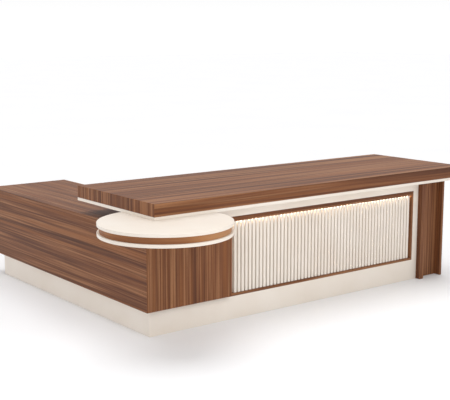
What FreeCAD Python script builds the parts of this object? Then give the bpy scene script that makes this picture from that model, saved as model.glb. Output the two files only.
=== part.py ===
import FreeCAD, Part
import os
import re

import Sketcher

# Executive desk in an L: a thick walnut top on a cream underlay, carried by a three-layer disc on a low
# return cabinet at one end and by a walnut panel leg at the other, with a slatted recess in the front panel.
# X runs along the top, Y from the visitor's side to the rear of the return, Z up. Sizes are in millimetres.
# Places are written from the floor corner under the return's front left edge. The model's origin is on the
# floor, at the middle of the space that the desk takes up.

DOC = FreeCAD.newDocument("executive_desk")
SHEET = DOC.addObject("Spreadsheet::Sheet", "Sizes")

SIZES = {
    # Top
    "desk_height": 760,
    "slab_thickness": 72,
    "underlay_thickness": 18,
    "desktop_length": 2520,
    "desktop_depth": 830,
    "desktop_inset": 15,
    "desktop_overhang": 60,
    "edge_round": 2,
    # Disc under the corner of the top
    "disc_radius": 366,
    "disc_inset": 70,
    "disc_reach": 84,
    "disc_plate": 18,
    "disc_core_height": 36,
    "disc_core_recess": 13,
    # Spacer under the rear of the top, where it passes over the return
    "riser_length": 200,
    "riser_depth": 100,
    "riser_inset": 60,
    # Return cabinet and plinth
    "board": 18,
    "return_width": 584,
    "return_length": 2000,
    "plinth_height": 150,
    "plinth_recess": 36,
    "plinth_rear_recess": 124,
    "stile_width": 80,
    "niche_length": 760,
    "drawer_bay_length": 600,
    "front_gap": 3,
    # Leg and front panel
    "leg_width": 223,
    "leg_end_distance": 108,
    "leg_rear_distance": 60,
    "leg_inner_board": 36,
    "leg_web_inset": 48,
    "recess_bottom": 137,
    "recess_top_margin": 60,
    "recess_margin": 47,
    "recess_reveal": 4,
    "panel_arm_gap": 4,
    # Slats and light
    "slat_count": 54,
    "slat_width": 18,
    "slat_depth": 20,
    "slat_start_gap": 30,
    "slat_end_gap": 16.5,
    "slat_top_gap": 11.5,
    "pelmet_drop": 11,
    "led_width": 16,
    "led_height": 9,
    "led_wall": 1.5,
    "diffuser_thickness": 2,
    "led_strip_width": 10,
    "led_strip_thickness": 1.2,
    # Steel angle brackets that hold the top down
    "bracket_leg": 40,
    "bracket_sheet": 3,
    "bracket_length": 60,
    "bracket_inset": 120,
    "bracket_end_distance": 300,
    # Drawers
    "drawer_rear_gap": 68,
    "drawer_board": 15,
    "drawer_rise": 25,
    "drawer_headroom": 15,
    "drawer_bottom": 8,
    "drawer_bottom_rise": 10,
    "rail_thickness": 6,
    "rail_play": 0.7,
    "rail_height": 35,
    "rail_setback": 4,
    "rail_end": 16,
    # Pulls
    "pull_length": 160,
    "pull_reach": 30,
    "pull_bar": 10,
    "pull_width": 12,
    "pull_edge": 30,
    # Cupboard
    "cup_radius": 17.5,
    "cup_depth": 11,
    "cup_clearance": 0.2,
    "cup_edge": 22,
    "hinge_inset": 80,
    "hinge_plate_length": 45,
    "hinge_plate_height": 50,
    "hinge_plate_thickness": 12,
    "hinge_plate_setback": 22,
    "hinge_arm_thickness": 20,
    "hinge_arm_height": 16,
    "hinge_arm_gap": 3,
    "shelf_setback": 20,
    "shelf_rise": 190,
    "shelf_play": 0.5,
    "cleat": 20,
}

for row, (alias, size) in enumerate(SIZES.items(), 1):
    SHEET.set(f"A{row}", alias)
    SHEET.set(f"B{row}", str(size))
    SHEET.setAlias(f"B{row}", alias)
DOC.recompute()

# Levels and lines that several pieces share
UNDERSIDE = "(desk_height - slab_thickness - underlay_thickness)"
RETURN_TOP = f"({UNDERSIDE} - 2 * disc_plate - disc_core_height)"
CARCASS_TOP = f"({RETURN_TOP} - board)"
CARCASS_HEIGHT = f"({CARCASS_TOP} - plinth_height)"
FRONT_PLANE = "(return_width - board)"
NICHE_END = "(board + niche_length)"
DRAWER_START = f"({NICHE_END} + board)"
DRAWER_END = f"({DRAWER_START} + drawer_bay_length)"
DOOR_START = f"({DRAWER_END} + board)"
CARCASS_END = "(return_length - board)"
LEG_RIGHT = "(desktop_inset + desktop_length - leg_end_distance)"
LEG_LEFT = f"({LEG_RIGHT} - leg_width)"
LEG_DEPTH = "(desktop_depth - desktop_overhang - leg_rear_distance)"
RECESS_RIGHT = f"({LEG_LEFT} - recess_margin)"
RECESS_LENGTH = f"({RECESS_RIGHT} - return_width)"
RECESS_TOP = f"({UNDERSIDE} - recess_top_margin)"
RECESS_HEIGHT = f"({RECESS_TOP} - recess_bottom)"
LINING_DEPTH = "(recess_reveal + slat_depth)"
CENTRE_X = "((disc_inset - disc_radius + desktop_inset + desktop_length) / 2)"
CENTRE_Y = "((return_length - disc_reach - disc_radius) / 2)"

DRAWER_NAMES = ("drawer_lower", "drawer_middle", "drawer_upper")
NODES = []


def bind(text):
    """Turns the size names in an expression into references to the sheet."""
    return re.sub(r"[a-z][a-z_]*", lambda word: "Sizes." + word.group(), text)


def number(text):
    """Works out an expression of size names as a plain number."""
    return float(SHEET.evalExpression(bind(text)))


def place(piece, x, y, z):
    """Ties a piece's corner to a place measured from the floor under the return's front left edge."""
    piece.setExpression("Placement.Base.x", bind(f"{x} - {CENTRE_X}"))
    piece.setExpression("Placement.Base.y", bind(f"{y} - {CENTRE_Y}"))
    piece.setExpression("Placement.Base.z", bind(z))
    return piece


def node(piece):
    """Lists a finished piece among those that are written out."""
    NODES.append(piece)
    return piece


def board(name, corner, size):
    """A rectangular board from its low corner and its sizes along X, Y and Z."""
    box = DOC.addObject("Part::Box", name)
    for side, length in zip(("Length", "Width", "Height"), size):
        box.setExpression(side, bind(length))
    return place(box, *corner)


def group(name, pieces):
    """Several like pieces kept as separate solids under one name."""
    compound = DOC.addObject("Part::Compound", name)
    compound.Links = pieces
    return compound


def sketch_on(body, plane):
    """An empty sketch on one of a body's own origin planes."""
    sketch = body.newObject("Sketcher::SketchObject", body.Name + "_outline")
    support = next(feature for feature in body.Origin.OriginFeatures if feature.Role == plane)
    sketch.AttachmentSupport = (support, "")
    sketch.MapMode = "FlatFace"
    return sketch


def pad(body, sketch, plane, length):
    """Pads a sketch towards +X, +Y or +Z, away from its plane."""
    feature = body.newObject("PartDesign::Pad", body.Name + "_pad")
    feature.Profile = sketch
    feature.Reversed = plane == "XZ_Plane"
    feature.setExpression("Length", bind(length))
    return feature


def profile(name, plane, outline, length, corner):
    """A straight piece of constant section: a closed outline of corner points, padded to a length."""
    body = DOC.addObject("PartDesign::Body", name)
    sketch = sketch_on(body, plane)
    points = [FreeCAD.Vector(number(u), number(v), 0) for u, v in outline]
    for start, end in zip(points, points[1:] + points[:1]):
        sketch.addGeometry(Part.LineSegment(start, end))
    for index, (u, v) in enumerate(outline):
        following = (index + 1) % len(outline)
        sketch.addConstraint(Sketcher.Constraint("Coincident", index, 2, following, 1))
        for kind, axis, distance in (("DistanceX", -2, u), ("DistanceY", -1, v)):
            if distance == "0":
                sketch.addConstraint(Sketcher.Constraint("PointOnObject", index, 1, axis))
                continue
            tie = sketch.addConstraint(Sketcher.Constraint(kind, -1, 1, index, 1, number(distance)))
            sketch.setExpression(f"Constraints[{tie}]", bind(distance))
    pad(body, sketch, plane, length)
    return place(body, *corner)


def soften(body, feature, edges):
    """Rounds the given edges of a body by the desk's edge radius."""
    fillet = body.newObject("PartDesign::Fillet", body.Name + "_edges")
    fillet.Base = (feature, edges)
    fillet.setExpression("Radius", bind("edge_round"))
    return body


def soft_slab(name, corner, size):
    """A slab with all its edges softly rounded."""
    along_x, along_y, along_z = size
    outline = (("0", "0"), (along_x, "0"), (along_x, along_y), ("0", along_y))
    body = profile(name, "XY_Plane", outline, along_z, corner)
    DOC.recompute()
    edges = [f"Edge{index}" for index in range(1, len(body.Tip.Shape.Edges) + 1)]
    return soften(body, body.Tip, edges)


def disc(name, radius, thickness, level, rounded):
    """One layer of the disc, centred over the return's front left corner."""
    body = DOC.addObject("PartDesign::Body", name)
    sketch = sketch_on(body, "XY_Plane")
    sketch.addGeometry(Part.Circle(FreeCAD.Vector(0, 0, 0), FreeCAD.Vector(0, 0, 1), number(radius)))
    sketch.addConstraint(Sketcher.Constraint("Coincident", 0, 3, -1, 1))
    tie = sketch.addConstraint(Sketcher.Constraint("Radius", 0, number(radius)))
    sketch.setExpression(f"Constraints[{tie}]", bind(radius))
    feature = pad(body, sketch, "XY_Plane", thickness)
    place(body, "disc_inset", "-disc_reach", level)
    if rounded:
        DOC.recompute()
        rims = [f"Edge{index}" for index, edge in enumerate(feature.Shape.Edges, 1) if edge.isClosed()]
        soften(body, feature, rims)
    return body


def build_top():
    """The writing top, its underlay, the disc that carries its corner and the hidden spacer behind it."""
    plan = ("desktop_length", "desktop_depth")
    left_front = ("desktop_inset", "-desktop_overhang")
    node(soft_slab("desktop_slab", (*left_front, "desk_height - slab_thickness"), (*plan, "slab_thickness")))
    node(soft_slab("desktop_underlay", (*left_front, UNDERSIDE), (*plan, "underlay_thickness")))
    node(disc("disc_top_plate", "disc_radius", "disc_plate", f"{UNDERSIDE} - disc_plate", True))
    core_radius = "disc_radius - disc_core_recess"
    node(disc("disc_core", core_radius, "disc_core_height", f"{RETURN_TOP} + disc_plate", False))
    node(disc("disc_bottom_plate", "disc_radius", "disc_plate", RETURN_TOP, True))
    riser_x = f"{FRONT_PLANE} - board - riser_length"
    riser_y = "desktop_depth - desktop_overhang - riser_inset - riser_depth"
    riser_size = ("riser_length", "riser_depth", f"{UNDERSIDE} - {RETURN_TOP}")
    node(board("desktop_riser", (riser_x, riser_y, RETURN_TOP), riser_size))


def build_return():
    """The return cabinet's boards, with mitred outer corners, and its fixed inner boards."""
    node(board("return_top", ("0", "0", CARCASS_TOP), ("return_width", "return_length", "board")))
    side = (("0", "0"), ("board", "board"), ("board", CARCASS_END), ("0", "return_length"))
    node(profile("return_outer_side", "XY_Plane", side, CARCASS_HEIGHT, ("0", "0", "plinth_height")))
    front = (("0", "0"), ("return_width", "0"), ("return_width", "board"), ("board", "board"))
    node(profile("return_front_end", "XY_Plane", front, CARCASS_HEIGHT, ("0", "0", "plinth_height")))
    rear = (("0", "board"), ("board", "0"), ("return_width", "0"), ("return_width", "board"))
    rear_corner = ("0", CARCASS_END, "plinth_height")
    node(profile("return_rear_end", "XY_Plane", rear, CARCASS_HEIGHT, rear_corner))
    inner_width = f"{FRONT_PLANE} - board"
    floor_size = (inner_width, f"{CARCASS_END} - board", "board")
    node(board("return_bottom", ("board", "board", "plinth_height"), floor_size))
    for name, start in (("return_divider_front", NICHE_END), ("return_divider_rear", DRAWER_END)):
        corner = ("board", start, "plinth_height + board")
        node(board(name, corner, (inner_width, "board", f"{CARCASS_HEIGHT} - board")))
    stile_corner = (FRONT_PLANE, "board", "plinth_height")
    node(board("return_inner_stile", stile_corner, ("board", "stile_width", CARCASS_HEIGHT)))


def build_plinth():
    """The recessed cream plinth under the return: four boards and two braces below the dividers."""
    inner_x = "return_width - plinth_recess - board"
    rear_y = "return_length - plinth_rear_recess - board"
    between_y = f"{rear_y} - plinth_recess - board"
    inside_x = "(plinth_recess + board)"
    inside_width = f"{inner_x} - {inside_x}"
    front_size = ("return_width - plinth_recess", "board", "plinth_height")
    node(board("plinth_front", ("plinth_recess", "plinth_recess", "0"), front_size))
    rear_size = ("return_width - 2 * plinth_recess", "board", "plinth_height")
    node(board("plinth_rear", ("plinth_recess", rear_y, "0"), rear_size))
    for name, x in (("plinth_left", "plinth_recess"), ("plinth_inner", inner_x)):
        node(board(name, (x, "plinth_recess + board", "0"), ("board", between_y, "plinth_height")))
    braces = []
    for name, y in (("plinth_brace_front", NICHE_END), ("plinth_brace_rear", DRAWER_END)):
        braces.append(board(name, (inside_x, y, "0"), (inside_width, "board", "plinth_height")))
    node(group("plinth_braces", braces))


def build_front_panel():
    """The cream front panel, with an arm over the return, and the walnut-lined recess with slats and light."""
    arm_start = "(disc_inset + disc_radius + panel_arm_gap)"
    arm = f"(return_width - {arm_start})"
    width = f"({LEG_LEFT} - {arm_start})"
    jamb = f"{width} - recess_margin"
    outline = (
        (arm, "0"),
        (width, "0"),
        (width, UNDERSIDE),
        ("0", UNDERSIDE),
        ("0", RETURN_TOP),
        (arm, RETURN_TOP),
        (arm, RECESS_TOP),
        (jamb, RECESS_TOP),
        (jamb, "recess_bottom"),
        (arm, "recess_bottom"),
    )
    corner = (arm_start, "plinth_recess", "0")
    node(profile("modesty_panel", "XZ_Plane", outline, "board", corner))

    floor_size = (RECESS_LENGTH, LINING_DEPTH, "board")
    node(board("recess_bottom_board", ("return_width", "plinth_recess", "recess_bottom"), floor_size))
    inside_height = f"{RECESS_HEIGHT} - 2 * board"
    inside_level = "recess_bottom + board"
    for name, x in (("recess_left_board", "return_width"), ("recess_right_board", f"{RECESS_RIGHT} - board")):
        node(board(name, (x, "plinth_recess", inside_level), ("board", LINING_DEPTH, inside_height)))
    back_corner = ("return_width", f"plinth_recess + {LINING_DEPTH}", "recess_bottom")
    node(board("recess_back_panel", back_corner, (RECESS_LENGTH, "board", RECESS_HEIGHT)))

    build_slats()
    build_light()


def build_slats():
    """A row of square bars that stands on the recess's floor, against its back."""
    first = "(return_width + board + slat_start_gap)"
    last = f"({RECESS_RIGHT} - board - slat_end_gap - slat_width)"
    height = f"{RECESS_HEIGHT} - 2 * board - slat_top_gap"
    count = int(number("slat_count"))
    slats = []
    for index in range(count):
        x = f"{first} + ({last} - {first}) * {index} / (slat_count - 1)"
        corner = (x, "plinth_recess + recess_reveal", "recess_bottom + board")
        slats.append(board(f"slat_{index + 1}", corner, ("slat_width", "slat_depth", height)))
    node(group("recess_slats", slats))


def build_light():
    """The recess's top board, grooved for a light channel, its strip and its diffuser, and the pelmet before them."""
    groove = f"(({LINING_DEPTH} - led_width) / 2)"
    groove_end = f"({groove} + led_width)"
    lining = (
        ("0", "0"),
        (groove, "0"),
        (groove, "led_height"),
        (groove_end, "led_height"),
        (groove_end, "0"),
        (LINING_DEPTH, "0"),
        (LINING_DEPTH, "board"),
        ("0", "board"),
    )
    level = f"{RECESS_TOP} - board"
    corner = ("return_width", "plinth_recess", level)
    node(profile("recess_top_board", "YZ_Plane", lining, RECESS_LENGTH, corner))
    pelmet_corner = ("return_width + board", "plinth_recess", f"{level} - pelmet_drop")
    node(board("recess_pelmet", pelmet_corner, (f"{RECESS_LENGTH} - 2 * board", "recess_reveal", "pelmet_drop")))

    channel = (
        ("0", "0"),
        ("led_wall", "0"),
        ("led_wall", "led_height - led_wall"),
        ("led_width - led_wall", "led_height - led_wall"),
        ("led_width - led_wall", "0"),
        ("led_width", "0"),
        ("led_width", "led_height"),
        ("0", "led_height"),
    )
    channel_x = "return_width + board"
    channel_length = f"{RECESS_LENGTH} - 2 * board"
    channel_y = f"plinth_recess + {groove}"
    node(profile("led_channel", "YZ_Plane", channel, channel_length, (channel_x, channel_y, level)))
    cover_size = (channel_length, "led_width - 2 * led_wall", "diffuser_thickness")
    node(board("led_diffuser", (channel_x, f"{channel_y} + led_wall", level), cover_size))
    strip_y = f"{channel_y} + (led_width - led_strip_width) / 2"
    strip_level = f"{level} + led_height - led_wall - led_strip_thickness"
    strip_size = (channel_length, "led_strip_width", "led_strip_thickness")
    node(board("led_strip", (channel_x, strip_y, strip_level), strip_size))


def build_leg():
    """The panel leg: two deep walnut boards, the inner one double, joined by two set-back webs."""
    node(board("leg_inner_panel", (LEG_LEFT, "0", "0"), ("leg_inner_board", LEG_DEPTH, UNDERSIDE)))
    outer_corner = (f"{LEG_RIGHT} - board", "0", "0")
    node(board("leg_outer_panel", outer_corner, ("board", LEG_DEPTH, UNDERSIDE)))
    web_size = ("leg_width - leg_inner_board - board", "board", UNDERSIDE)
    rear_web = f"{LEG_DEPTH} - leg_web_inset - board"
    for name, y in (("leg_front_web", "leg_web_inset"), ("leg_rear_web", rear_web)):
        node(board(name, (f"{LEG_LEFT} + leg_inner_board", y, "0"), web_size))


def build_brackets():
    """Steel angles under the top: two on each leg board and two behind the front panel."""
    facing_up = (
        ("0", "0"),
        ("bracket_sheet", "0"),
        ("bracket_sheet", "bracket_leg - bracket_sheet"),
        ("bracket_leg", "bracket_leg - bracket_sheet"),
        ("bracket_leg", "bracket_leg"),
        ("0", "bracket_leg"),
    )
    facing_back = (
        ("bracket_leg - bracket_sheet", "0"),
        ("bracket_leg", "0"),
        ("bracket_leg", "bracket_leg"),
        ("0", "bracket_leg"),
        ("0", "bracket_leg - bracket_sheet"),
        ("bracket_leg - bracket_sheet", "bracket_leg - bracket_sheet"),
    )
    level = f"{UNDERSIDE} - bracket_leg"
    inner_x = f"{LEG_LEFT} + leg_inner_board"
    outer_x = f"{LEG_RIGHT} - board - bracket_leg"
    front_y = "leg_web_inset + board + bracket_inset"
    rear_y = f"{LEG_DEPTH} - leg_web_inset - board - bracket_inset - bracket_length"
    brackets = []
    for place_name, y in (("front", front_y), ("rear", rear_y)):
        for side, outline, x in (("inner", facing_up, inner_x), ("outer", facing_back, outer_x)):
            name = f"bracket_{side}_{place_name}"
            brackets.append(profile(name, "XZ_Plane", outline, "bracket_length", (x, y, level)))
    left_x = "return_width + bracket_end_distance"
    right_x = f"{LEG_LEFT} - bracket_end_distance - bracket_length"
    for place_name, x in (("left", left_x), ("right", right_x)):
        name = f"bracket_panel_{place_name}"
        corner = (x, "plinth_recess + board", level)
        brackets.append(profile(name, "YZ_Plane", facing_up, "bracket_length", corner))
    node(group("angle_brackets", brackets))


def pull(name, plane, corner):
    """A square bar pull on two posts, standing out of a front; the plane holds its length and its reach."""
    inner_reach = "pull_reach - pull_bar"
    inner_end = "pull_length - pull_bar"
    outline = (
        ("0", "0"),
        ("pull_reach", "0"),
        ("pull_reach", "pull_length"),
        ("0", "pull_length"),
        ("0", inner_end),
        (inner_reach, inner_end),
        (inner_reach, "pull_bar"),
        ("0", "pull_bar"),
    )
    return node(profile(name, plane, outline, "pull_width", corner))


def build_drawer(level, fixed_rails):
    """One drawer of the stack: front, box boards, runners and pull; its cabinet rails join the given list."""
    name = DRAWER_NAMES[level]
    count = len(DRAWER_NAMES)
    height = f"(({CARCASS_HEIGHT} - front_gap * {count + 1}) / {count})"
    bottom = f"(plinth_height + front_gap + ({height} + front_gap) * {level})"
    front_end = f"({DRAWER_END} + (board - front_gap) / 2)"
    front_width = f"({front_end} - {NICHE_END})"
    node(board(f"{name}_front", (FRONT_PLANE, NICHE_END, bottom), ("board", front_width, height)))

    rear_x = "(board + drawer_rear_gap)"
    depth = f"({FRONT_PLANE} - {rear_x})"
    side_height = f"({height} - drawer_rise - drawer_headroom)"
    box_level = f"({bottom} + drawer_rise)"
    runner_space = "(2 * rail_thickness + rail_play)"
    near_y = f"({DRAWER_START} + {runner_space})"
    far_y = f"({DRAWER_END} - {runner_space})"
    far_board_y = f"{far_y} - drawer_board"
    sides = []
    for label, y in (("near", near_y), ("far", far_board_y)):
        size = (depth, "drawer_board", side_height)
        sides.append(board(f"{name}_side_{label}", (rear_x, y, box_level), size))
    node(group(f"{name}_sides", sides))
    inside_y = f"{near_y} + drawer_board"
    inside_width = f"{far_y} - {near_y} - 2 * drawer_board"
    back_size = ("drawer_board", inside_width, side_height)
    node(board(f"{name}_back", (rear_x, inside_y, box_level), back_size))
    floor_corner = (f"{rear_x} + drawer_board", inside_y, f"{box_level} + drawer_bottom_rise")
    floor_size = (f"{depth} - drawer_board", inside_width, "drawer_bottom")
    node(board(f"{name}_bottom", floor_corner, floor_size))

    rail_x = f"{rear_x} + rail_end"
    rail_size = (f"{depth} - rail_end - rail_setback", "rail_thickness", "rail_height")
    rail_level = f"{box_level} + ({side_height} - rail_height) / 2"
    moving = []
    for label, y in (("near", f"{near_y} - rail_thickness"), ("far", far_y)):
        moving.append(board(f"{name}_rail_{label}", (rail_x, y, rail_level), rail_size))
    node(group(f"{name}_runners", moving))
    for label, y in (("near", DRAWER_START), ("far", f"{DRAWER_END} - rail_thickness")):
        fixed_rails.append(board(f"{name}_cabinet_rail_{label}", (rail_x, y, rail_level), rail_size))

    pull_y = f"{NICHE_END} + ({front_width} - pull_length) / 2"
    pull_level = f"{bottom} + {height} - pull_edge - pull_width"
    pull(f"{name}_pull", "XY_Plane", ("return_width", pull_y, pull_level))


def build_drawers():
    """The stack of drawers and the cabinet rails that carry them."""
    fixed_rails = []
    for level in range(len(DRAWER_NAMES)):
        build_drawer(level, fixed_rails)
    node(group("cabinet_runners", fixed_rails))


def build_cupboard():
    """The cupboard at the rear of the return: door with pull, cup hinges, and a shelf on cleats."""
    door_start = f"({DRAWER_END} + (board + front_gap) / 2)"
    door_end = f"({CARCASS_END} - front_gap)"
    door_level = "(plinth_height + front_gap)"
    door_height = f"({CARCASS_HEIGHT} - 2 * front_gap)"
    cup_y = f"{door_end} - cup_edge"
    hinge_levels = {
        "lower": f"({door_level} + hinge_inset)",
        "upper": f"({door_level} + {door_height} - hinge_inset)",
    }
    door_size = ("board", f"{door_end} - {door_start}", door_height)
    blank = board("door_blank", (FRONT_PLANE, door_start, door_level), door_size)
    bores = []
    cups = []
    arms = []
    for label, z in hinge_levels.items():
        bores.append(cup(f"hinge_bore_{label}", "cup_radius + cup_clearance", cup_y, z))
        cups.append(cup(f"hinge_cup_{label}", "cup_radius", cup_y, z))
        arms.append(hinge_arm(label, cup_y, z))
    door = DOC.addObject("Part::Cut", "cupboard_door")
    door.Base = blank
    door.Tool = group("hinge_bores", bores)
    node(door)
    node(group("hinge_cups", cups))
    node(group("hinge_arms", arms))
    pull_level = f"{door_level} + ({door_height} - pull_length) / 2"
    pull("cupboard_pull", "XZ_Plane", ("return_width", f"{door_start} + pull_edge", pull_level))

    shelf_x = "board + shelf_setback"
    shelf_length = f"{FRONT_PLANE} - board - 2 * shelf_setback"
    shelf_level = "plinth_height + board + shelf_rise"
    shelf_width = f"{CARCASS_END} - {DOOR_START} - 2 * shelf_play"
    shelf_corner = (shelf_x, f"{DOOR_START} + shelf_play", shelf_level)
    node(board("cupboard_shelf", shelf_corner, (shelf_length, shelf_width, "board")))
    cleats = []
    for label, y in (("near", DOOR_START), ("far", f"{CARCASS_END} - cleat")):
        corner = (shelf_x, y, f"{shelf_level} - cleat")
        cleats.append(board(f"shelf_cleat_{label}", corner, (shelf_length, "cleat", "cleat")))
    node(group("shelf_cleats", cleats))


def cup(name, radius, y, z):
    """A round plug let into the door's back, for a hinge cup or its bore."""
    cylinder = DOC.addObject("Part::Cylinder", name)
    cylinder.setExpression("Radius", bind(radius))
    cylinder.setExpression("Height", bind("cup_depth"))
    cylinder.Placement.Rotation = FreeCAD.Rotation(FreeCAD.Vector(0, 1, 0), 90)
    return place(cylinder, FRONT_PLANE, y, z)


def hinge_arm(label, y, z):
    """A hinge's plate on the cabinet's rear end with the arm that reaches towards the cup."""
    plate_x = f"({FRONT_PLANE} - hinge_plate_setback - hinge_plate_length)"
    plate_y = f"({CARCASS_END} - hinge_plate_thickness)"
    plate_size = ("hinge_plate_length", "hinge_plate_thickness", "hinge_plate_height")
    plate = board(f"hinge_plate_{label}", (plate_x, plate_y, f"{z} - hinge_plate_height / 2"), plate_size)
    arm_length = f"{FRONT_PLANE} - hinge_arm_gap - {plate_x}"
    arm_y = f"{plate_y} - hinge_arm_thickness"
    arm_size = (arm_length, "hinge_arm_thickness", "hinge_arm_height")
    arm = board(f"hinge_lever_{label}", (plate_x, arm_y, f"{z} - hinge_arm_height / 2"), arm_size)
    joined = DOC.addObject("Part::Fuse", f"hinge_arm_{label}")
    joined.Base = plate
    joined.Tool = arm
    return joined


def write_parts():
    """Checks every object of the document, then writes each piece to its own file."""
    DOC.recompute()
    failed = [item.Name for item in DOC.Objects if {"Invalid", "Error"} & set(item.State)]
    if failed:
        raise RuntimeError(f"objects that failed: {failed}")
    for piece in NODES:
        if piece.Shape.isNull() or not piece.Shape.isValid():
            raise RuntimeError(f"{piece.Label} has no valid shape")
    os.makedirs("parts", exist_ok=True)
    for piece in NODES:
        piece.Shape.exportStep(f"parts/{piece.Label}.step")
    print(len(NODES), "pieces written")


build_top()
build_return()
build_plinth()
build_front_panel()
build_leg()
build_brackets()
build_drawers()
build_cupboard()
write_parts()
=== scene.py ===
"""Looks of a walnut and cream executive desk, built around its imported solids.

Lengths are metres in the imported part's own frame: X runs along the main top, Y from the visitor's
side to the user's, and Z up from the floor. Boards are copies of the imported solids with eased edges
and a map of their grain. The bars of the lit recess and the screws come from Geometry Nodes.
"""

import logging
import math
from collections.abc import Iterable, Sequence
from dataclasses import dataclass, field
from enum import Enum

import bmesh
import bpy
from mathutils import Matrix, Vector


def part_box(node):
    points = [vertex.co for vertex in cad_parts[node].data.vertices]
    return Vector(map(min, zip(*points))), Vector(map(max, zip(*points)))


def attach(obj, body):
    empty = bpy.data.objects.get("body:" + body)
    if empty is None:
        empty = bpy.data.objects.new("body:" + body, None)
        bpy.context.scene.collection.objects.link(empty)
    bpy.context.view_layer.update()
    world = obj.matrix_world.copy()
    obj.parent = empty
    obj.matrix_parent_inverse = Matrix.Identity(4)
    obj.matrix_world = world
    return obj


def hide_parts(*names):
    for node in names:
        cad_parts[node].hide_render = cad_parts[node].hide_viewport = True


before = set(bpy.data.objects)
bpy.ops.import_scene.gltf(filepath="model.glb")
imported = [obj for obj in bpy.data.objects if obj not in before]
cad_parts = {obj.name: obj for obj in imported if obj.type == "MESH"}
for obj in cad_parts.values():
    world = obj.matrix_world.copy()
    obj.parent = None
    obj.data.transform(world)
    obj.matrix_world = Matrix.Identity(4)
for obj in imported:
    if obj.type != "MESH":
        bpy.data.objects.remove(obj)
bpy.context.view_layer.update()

LOG = logging.getLogger("executive_desk")
GRAIN_MAP = "grain"
FACING = "facing"
MERGE_DISTANCE = 1e-5
LEVEL_DISTANCE = 1e-9
FLAT_ANGLE = math.radians(1)
EDGE_ANGLE = math.radians(30)
RESIN_IOR = 1.5
FIRST_DRAWER_LOT = 60
WHITE = (1.0, 1.0, 1.0, 1.0)
# Numbers of a Mix node's two colour inputs, because its other inputs have the same names
MIX_FROM, MIX_TO = 6, 7

Pair = tuple[float, float]
Triple = tuple[float, float, float]


class Axis(Enum):
    """Directions of the desk's frame, for grain, brushing and turned pieces."""

    ALONG_TOP = 0
    ALONG_RETURN = 1
    UPRIGHT = 2


class Body(Enum):
    """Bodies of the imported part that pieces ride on."""

    DESK = "desk"
    DRAWER_LOWER = "drawer_lower"
    DRAWER_MIDDLE = "drawer_middle"
    DRAWER_UPPER = "drawer_upper"
    CUPBOARD_DOOR = "cupboard_door"


class Slot(Enum):
    """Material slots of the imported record."""

    WALNUT = "walnut_veneer"
    CREAM = "cream_lacquer"
    DRAWER_BOARD = "drawer_box_board"
    PULL_STEEL = "brushed_steel_pull"
    ZINC = "zinc_plated_steel"
    ALUMINIUM = "anodised_aluminium"
    OPAL = "opal_diffuser"
    STRIP = "led_strip_board"


def linear(hex_colour: str) -> tuple[float, float, float, float]:
    """Turns an sRGB hex colour into Blender's linear colour.

    Args:
        hex_colour: Six hex digits after a hash sign.

    Returns:
        Linear red, green and blue, and an alpha of one.
    """
    shares = [int(hex_colour[place : place + 2], 16) / 255 for place in (1, 3, 5)]
    red, green, blue = [
        s / 12.92 if s <= 0.04045 else ((s + 0.055) / 1.055) ** 2.4 for s in shares
    ]
    return red, green, blue, 1.0


def add_node(
    tree: bpy.types.NodeTree,
    kind: str,
    inputs: dict[str | int, object] | None = None,
    **settings: object,
) -> bpy.types.Node:
    """Adds a node with its settings, and sets or links its inputs.

    Args:
        tree: Tree that takes the node.
        kind: Blender's name for the node's class.
        inputs: What goes into each input, by the input's name or number. A socket is linked, a node
            is linked from its first output in use, and any other value is set.
        settings: Properties of the node itself.

    Returns:
        The new node.
    """
    node = tree.nodes.new(kind)
    for name, value in settings.items():
        setattr(node, name, value)
    for key, value in (inputs or {}).items():
        if isinstance(value, bpy.types.Node):
            value = next(output for output in value.outputs if output.enabled)
        if isinstance(value, bpy.types.NodeSocket):
            tree.links.new(value, node.inputs[key])
        else:
            node.inputs[key].default_value = value
    return node


@dataclass(frozen=True)
class Finish:
    """A finish of the desk: its record slot and a material made from nodes."""

    name: str
    slot: Slot | None

    def material(self) -> bpy.types.Material:
        """Makes the material.

        Returns:
            A material whose surface is what dress returns.
        """
        made = bpy.data.materials.new(self.name)
        made.use_nodes = True
        tree = made.node_tree
        tree.nodes.clear()
        add_node(tree, "ShaderNodeOutputMaterial", {"Surface": self.dress(tree)})
        return made

    def dress(self, tree: bpy.types.NodeTree) -> bpy.types.Node:
        """Adds the finish's nodes to a tree and returns its shader."""
        raise NotImplementedError

    @staticmethod
    def tinted(
        tree: bpy.types.NodeTree,
        under: bpy.types.Node | tuple[float, float, float, float],
        mark: bpy.types.Node,
        ramp: Pair,
        shade: str,
        cover: float = 1.0,
    ) -> bpy.types.Node:
        """Lays a colour over another where a pattern is strong.

        Args:
            tree: Tree of the material.
            under: Linear colour that is covered, or the node that it comes from.
            mark: Node with the pattern.
            ramp: Values of the pattern where the new colour starts and where it is full.
            shade: Hex value of the new colour.
            cover: The most that the new colour hides of what is under it.

        Returns:
            The node with the mixed colour.
        """
        start, full = ramp
        share = add_node(
            tree,
            "ShaderNodeMapRange",
            {"Value": mark, "From Min": start, "From Max": full, "To Max": cover},
        )
        return add_node(
            tree,
            "ShaderNodeMix",
            {"Factor": share, MIX_FROM: under, MIX_TO: linear(shade)},
            data_type="RGBA",
        )


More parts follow.
